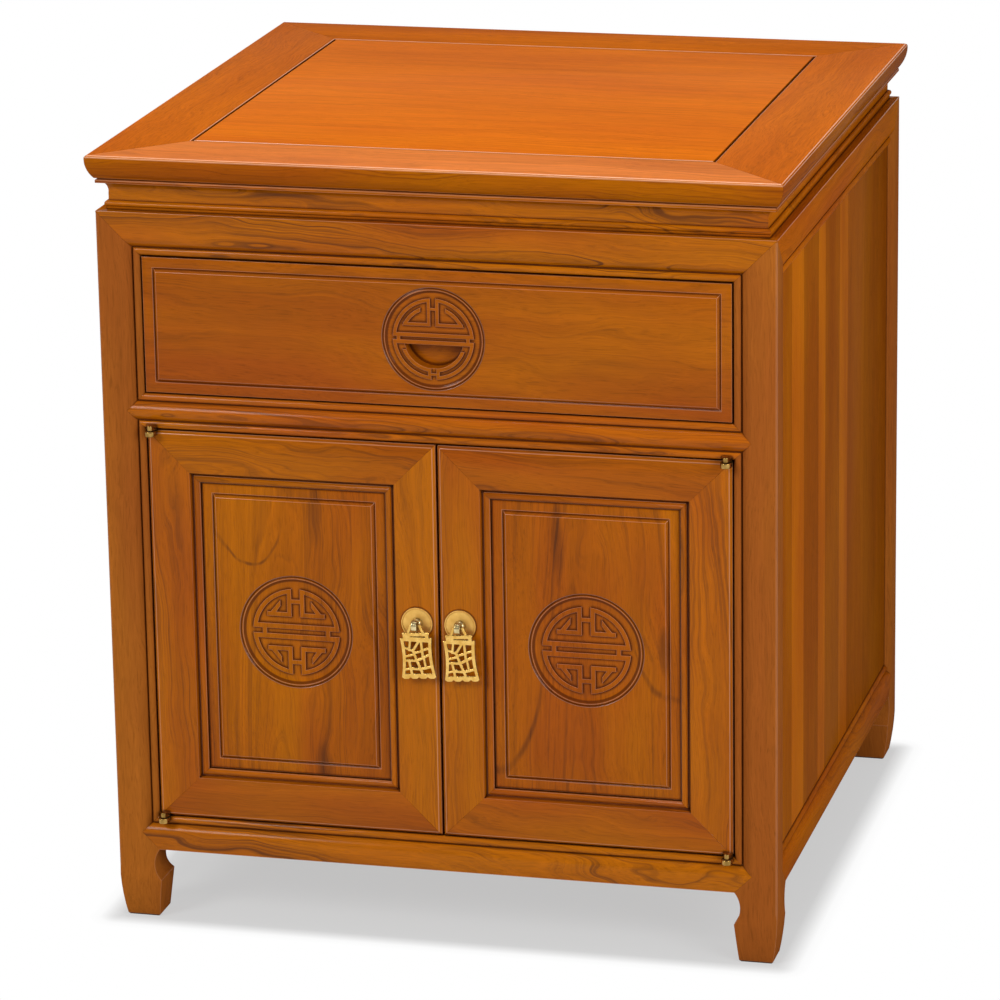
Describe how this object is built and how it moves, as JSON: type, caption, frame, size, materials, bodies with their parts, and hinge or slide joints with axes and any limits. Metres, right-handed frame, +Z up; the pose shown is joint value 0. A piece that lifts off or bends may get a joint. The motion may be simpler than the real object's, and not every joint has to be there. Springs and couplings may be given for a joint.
{
  "type": "side cabinet with a drawer and two doors",
  "caption": "Square rosewood side cabinet with a moulded top, a carved drawer, two panelled doors with carved round medallions, pendant pulls and short shaped legs.",
  "frame": {"origin": "on the floor, under the middle of the whole cabinet's bounding box, pulls included", "axes": "+Z up, front faces -Y, +X to the right as seen from the front"},
  "size_m": [0.578, 0.5728, 0.66],
  "materials": {
    "rosewood": "varnished, warm orange-brown with darker veins",
    "rosewood_top": "varnished, bright orange-brown",
    "rosewood_side_boards": "varnished, boards in lighter and darker upright stripes",
    "inner_wood": "plain, lightly sealed",
    "brass": "lightly aged, polished",
    "steel": "plain",
    "catch_plastic": "matt, dark brown"
  },
  "bodies": {
    "carcass": {"back_panel": "inner_wood", "bottom_rail_back": "rosewood", "bottom_rail_front": "rosewood", "bottom_rail_left": "rosewood", "bottom_rail_right": "rosewood", "cupboard_floor": "inner_wood", "door_catch": "catch_plastic", "drawer_kicker_left": "inner_wood", "drawer_kicker_right": "inner_wood", "drawer_runner_left": "inner_wood", "drawer_runner_right": "inner_wood", "hinge_rail_leaves": "brass", "middle_rail": "rosewood", "post_back_left": "rosewood", "post_back_right": "rosewood", "post_front_left": "rosewood", "post_front_right": "rosewood", "side_panel_left": "rosewood_side_boards", "side_panel_right": "rosewood_side_boards", "top_batten": "inner_wood", "top_frame_back": "rosewood_top", "top_frame_front": "rosewood_top", "top_frame_left": "rosewood_top", "top_frame_right": "rosewood_top", "top_panel": "rosewood_top", "top_rail_back": "rosewood", "top_rail_front": "rosewood", "top_rail_left": "rosewood", "top_rail_right": "rosewood", "waist_back": "rosewood", "waist_front": "rosewood", "waist_left": "rosewood", "waist_right": "rosewood"},
    "drawer": {"drawer_front": "rosewood", "drawer_side_left": "inner_wood", "drawer_side_right": "inner_wood", "drawer_back": "inner_wood", "drawer_bottom": "inner_wood"},
    "door_left": {"door_left_bottom_rail": "rosewood", "door_left_top_rail": "rosewood", "door_left_meeting_stile": "rosewood", "door_left_hinge_stile": "rosewood", "door_left_panel": "rosewood", "hinge_door_leaves_left": "brass", "pull_plate_left": "brass", "pull_eye_left": "brass", "door_strike_left": "steel"},
    "door_right": {"door_right_bottom_rail": "rosewood", "door_right_top_rail": "rosewood", "door_right_meeting_stile": "rosewood", "door_right_hinge_stile": "rosewood", "door_right_panel": "rosewood", "hinge_door_leaves_right": "brass", "pull_plate_right": "brass", "pull_eye_right": "brass", "door_strike_right": "steel"},
    "pendant_left": {"pull_pendant_left": "brass"},
    "pendant_right": {"pull_pendant_right": "brass"}
  },
  "joints": [
    {"name": "drawer_slide", "type": "slide", "parent": "carcass", "child": "drawer", "axis": [0, -1, 0], "range_m": [0, 0.38]},
    {"name": "door_left_hinge", "type": "hinge", "parent": "carcass", "child": "door_left", "pos_m": [-0.2415, -0.2786, 0.261], "axis": [0, 0, -1], "range_deg": [0, 165]},
    {"name": "door_right_hinge", "type": "hinge", "parent": "carcass", "child": "door_right", "pos_m": [0.2415, -0.2786, 0.261], "axis": [0, 0, 1], "range_deg": [0, 165]},
    {"name": "pendant_left_swing", "type": "hinge", "parent": "door_left", "child": "pendant_left", "pos_m": [-0.0183, -0.2816, 0.277], "axis": [-1, 0, 0], "range_deg": [-5, 100]},
    {"name": "pendant_right_swing", "type": "hinge", "parent": "door_right", "child": "pendant_right", "pos_m": [0.0183, -0.2816, 0.277], "axis": [-1, 0, 0], "range_deg": [-5, 100]}
  ]
}
